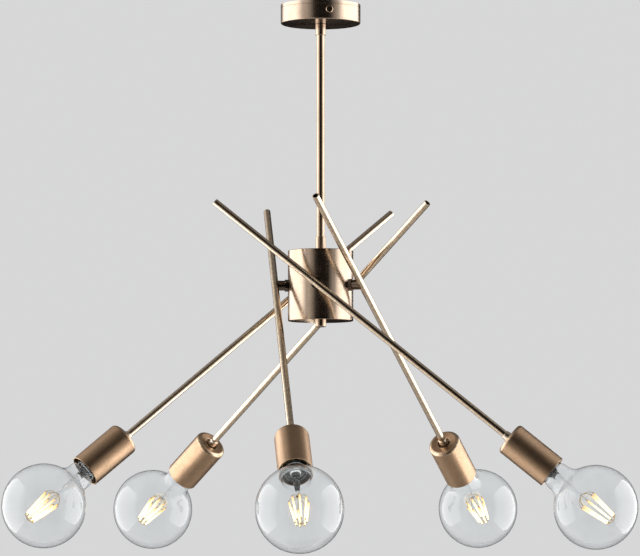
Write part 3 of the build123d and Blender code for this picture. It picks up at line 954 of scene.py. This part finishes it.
class CHANDELIER_OT_filaments(bpy.types.Operator):
    """Make the glass mounts, light sticks and lead wires inside the globes"""

    bl_idname = "chandelier.filaments"
    bl_label = "Light sticks and mounts"

    def execute(self, context):
        size = settings("filament")
        bulb = settings("bulb")
        foot = bulb.cap_tip + bulb.cap_length - GLASS_IN_CAP
        bell = bulb.seal_radius - bulb.glass_wall - THREAD_FIT
        ends = list(stick_ends(size))
        tip = ends[0][1].z + size.rod_past
        bare, tab, tab_radius = size.tab_bare, size.tab_length, size.stick_radius * 0.7
        for arm in ARMS:
            place = arm_place(arm)
            body = "bulb_" + arm
            node = ["bulb_filament_" + arm]
            finish_piece(
                "mount_" + arm, mount_skin(size, foot, bell), place, body,
                MATERIALS["clear_glass"], node, 60,
            )
            rod = bmesh.new()
            bar_between(
                rod, Vector((0, 0, size.mount_top - 0.002)), Vector((0, 0, tip)), size.rod_radius
            )
            finish_piece(
                "rod_" + arm, rod, place, body, MATERIALS["clear_glass"], node
            )
            sticks, tabs, wires = bmesh.new(), bmesh.new(), bmesh.new()
            for top, bottom in ends:
                along = (bottom - top).normalized()
                bar_between(sticks, top + along * bare, bottom - along * bare, size.stick_radius)
                bar_between(tabs, top, top + along * tab, tab_radius, 8)
                bar_between(tabs, bottom - along * tab, bottom, tab_radius, 8)
                knee = Vector((top.x * 0.75, top.y * 0.75, size.mount_top + size.knee_height))
                bar_between(wires, Vector((0, 0, size.mount_top - 0.001)), knee, size.wire_radius, 8)
                bar_between(wires, knee, top, size.wire_radius, 8)
                bar_between(wires, bottom, Vector((0, 0, tip - 0.002)), size.wire_radius, 8)
            finish_piece(
                "sticks_" + arm, sticks, place, body, MATERIALS["glowing_filament"],
                node,
            )
            finish_piece(
                "stick_tabs_" + arm, tabs, place, body, MATERIALS["contact_brass"],
                node,
            )
            finish_piece(
                "lead_wires_" + arm, wires, place, body, MATERIALS["contact_brass"],
                node,
            )
        return {"FINISHED"}


# ---------------------------------------------------------------- stage
def emission(name):
    """A stage material that only gives light."""
    nodes = Nodes(name)
    nodes.tree.nodes.remove(nodes.shader)
    light = nodes.add("ShaderNodeEmission", {"Color": (1, 1, 1, 1)})
    output = nodes.tree.nodes["Material Output"]
    nodes.tree.links.new(light.outputs["Emission"], output.inputs["Surface"])
    return nodes, light


def stage_panel(name, width, height, place, material, corner=0.0):
    """A flat panel of the stage with rounded corners, facing along the Z of its place."""
    shape = bmesh.new()
    bmesh.ops.create_grid(shape, x_segments=1, y_segments=1, size=0.5)
    bmesh.ops.scale(shape, vec=(width, height, 1), verts=shape.verts)
    if corner:
        bmesh.ops.bevel(
            shape, geom=shape.verts[:], offset=corner, offset_type="OFFSET", segments=16,
            profile=0.5, affect="VERTICES", material=-1,
        )
    return stage_piece(name, shape, place, material)


def stage_piece(name, shape, place, material):
    """A piece of the stage, made of a bmesh."""
    mesh = bpy.data.meshes.new(name)
    shape.to_mesh(mesh)
    shape.free()
    mesh.materials.append(material)
    piece = bpy.data.objects.new(name, mesh)
    piece.matrix_world = place
    bpy.context.scene.collection.objects.link(piece)
    return piece


class CHANDELIER_OT_stage(bpy.types.Operator):
    """Set the floor, surroundings, softboxes and camera"""

    bl_idname = "chandelier.stage"
    bl_label = "Stage, light and camera"

    def execute(self, context):
        size = settings("stage")
        scene = context.scene
        self.camera(size, scene)
        self.floor(size)
        self.tent(size)
        self.softboxes(size)
        self.room(size, scene)
        return {"FINISHED"}

    def camera(self, size, scene):
        """The photograph's viewpoint."""
        data = bpy.data.cameras.new("camera")
        data.lens = size.lens
        data.sensor_width = 36
        data.clip_start = 0.1
        data.clip_end = 400
        camera = bpy.data.objects.new("camera", data)
        camera.location = (0, -size.camera_distance, size.camera_height)
        camera.rotation_euler = (pi / 2 + size.camera_pitch, 0, size.camera_yaw)
        scene.collection.objects.link(camera)
        scene.camera = camera

    def floor(self, size):
        """A plain pale floor that metals don't mirror."""
        nodes = Nodes("pale_floor")
        mottle = nodes.noise(nodes.place(False), FLOOR_MOTTLE, detail=4.0)
        nodes.set(
            Base_Color=nodes.mix(mottle, rgba(size.floor_colour, 0.97), rgba(size.floor_colour)),
            Roughness=0.75,
        )
        floor = stage_panel(
            "floor", size.floor_size, size.floor_size,
            Matrix.Translation((0, 0, size.floor_height)), nodes.material,
        )
        floor.visible_glossy = False

    def tent(self, size):
        """Cloth that only reflections see: dark in front and behind, lit at the sides."""
        nodes, light = emission("dark_tent")
        nodes.material.cycles.emission_sampling = "NONE"
        spot = nodes.add("ShaderNodeSeparateXYZ", {"Vector": nodes.place(False)})
        reach = size.tent_radius
        lit = nodes.between(spot.outputs["X"], reach * 0.48, reach * 0.85)
        left, below, above = ("X", -0.32, -0.7, 1), ("Z", -0.5, -0.8, 0.45), ("Z", 0.6, 0.9, 0.2)
        for axis, start, end, most in (left, below, above):
            glow = nodes.between(spot.outputs[axis], reach * start, reach * end, 0, most)
            lit = nodes.plus(lit, glow)
        shade = nodes.mix(lit, rgba(size.tent_colour), rgba(size.tent_side_colour))
        nodes.tree.links.new(shade, light.inputs["Color"])
        shape = bmesh.new()
        bmesh.ops.create_uvsphere(shape, u_segments=48, v_segments=24, radius=size.tent_radius)
        tent = stage_piece("tent", shape, Matrix.Translation((0, 0, size.box_drop)), nodes.material)
        tent.visible_camera = False
        tent.visible_diffuse = False
        tent.visible_transmission = False
        tent.visible_shadow = False

    def softboxes(self, size):
        """The two rounded softboxes that light the lamp from the sides."""
        for side, name in ((-1, "softbox_left"), (1, "softbox_right")):
            nodes, light = emission(name)
            spot = nodes.add("ShaderNodeSeparateXYZ", {"Vector": nodes.place(False)})
            front = -size.box_width / 2
            bright = nodes.times(
                nodes.between(spot.outputs["X"], front, front + size.box_fade), size.box_power
            )
            nodes.tree.links.new(bright, light.inputs["Strength"])
            middle = (side * size.box_distance, size.box_place, size.box_drop)
            across = Matrix(((0, 0, -side), (1, 0, 0), (0, -side, 0))).to_4x4()
            panel = stage_panel(
                name, size.box_width, size.box_height, Matrix.Translation(middle) @ across,
                nodes.material, size.box_corner,
            )
            panel.visible_camera = False
            panel.visible_transmission = False

    def room(self, size, scene):
        """Pale surroundings and a plain view transform."""
        world = bpy.data.worlds.new("pale_room")
        scene.world = world
        world.use_nodes = True
        world.node_tree.nodes["Background"].inputs["Color"].default_value = rgba(size.paleness)
        world.cycles.sampling_method = "NONE"
        scene.view_settings.view_transform = "Standard"


class CHANDELIER_PT_sidebar(bpy.types.Panel):
    """Lists the chandelier's pieces and their sizes"""

    bl_label = "Chandelier"
    bl_space_type = "VIEW_3D"
    bl_region_type = "UI"
    bl_category = "Chandelier"

    def draw(self, context):
        for operator in OPERATORS:
            self.layout.operator(operator.bl_idname, text=operator.bl_label)
        for name, group in SETTINGS.items():
            box = self.layout.box()
            box.label(text=name.capitalize())
            for prop in group.__annotations__:
                box.prop(settings(name), prop)


OPERATORS = (
    CHANDELIER_OT_ceiling,
    CHANDELIER_OT_stem,
    CHANDELIER_OT_hub,
    CHANDELIER_OT_arms,
    CHANDELIER_OT_cups,
    CHANDELIER_OT_lampholders,
    CHANDELIER_OT_globes,
    CHANDELIER_OT_caps,
    CHANDELIER_OT_filaments,
    CHANDELIER_OT_stage,
)
CLASSES = (*SETTINGS.values(), *OPERATORS, CHANDELIER_PT_sidebar)


def register():
    """Adds the classes and the scene's settings."""
    for cls in CLASSES:
        bpy.utils.register_class(cls)
    for name, group in SETTINGS.items():
        setattr(bpy.types.Scene, "chandelier_" + name, bpy.props.PointerProperty(type=group))


def unregister():
    """Takes the settings and classes away again."""
    for name in SETTINGS:
        delattr(bpy.types.Scene, "chandelier_" + name)
    for cls in reversed(CLASSES):
        bpy.utils.unregister_class(cls)


def main():
    """Builds every piece and the stage in order."""
    register()
    make_materials()
    for operator in OPERATORS:
        group, name = operator.bl_idname.split(".")
        getattr(getattr(bpy.ops, group), name)()


if __name__ == "__main__":
    main()
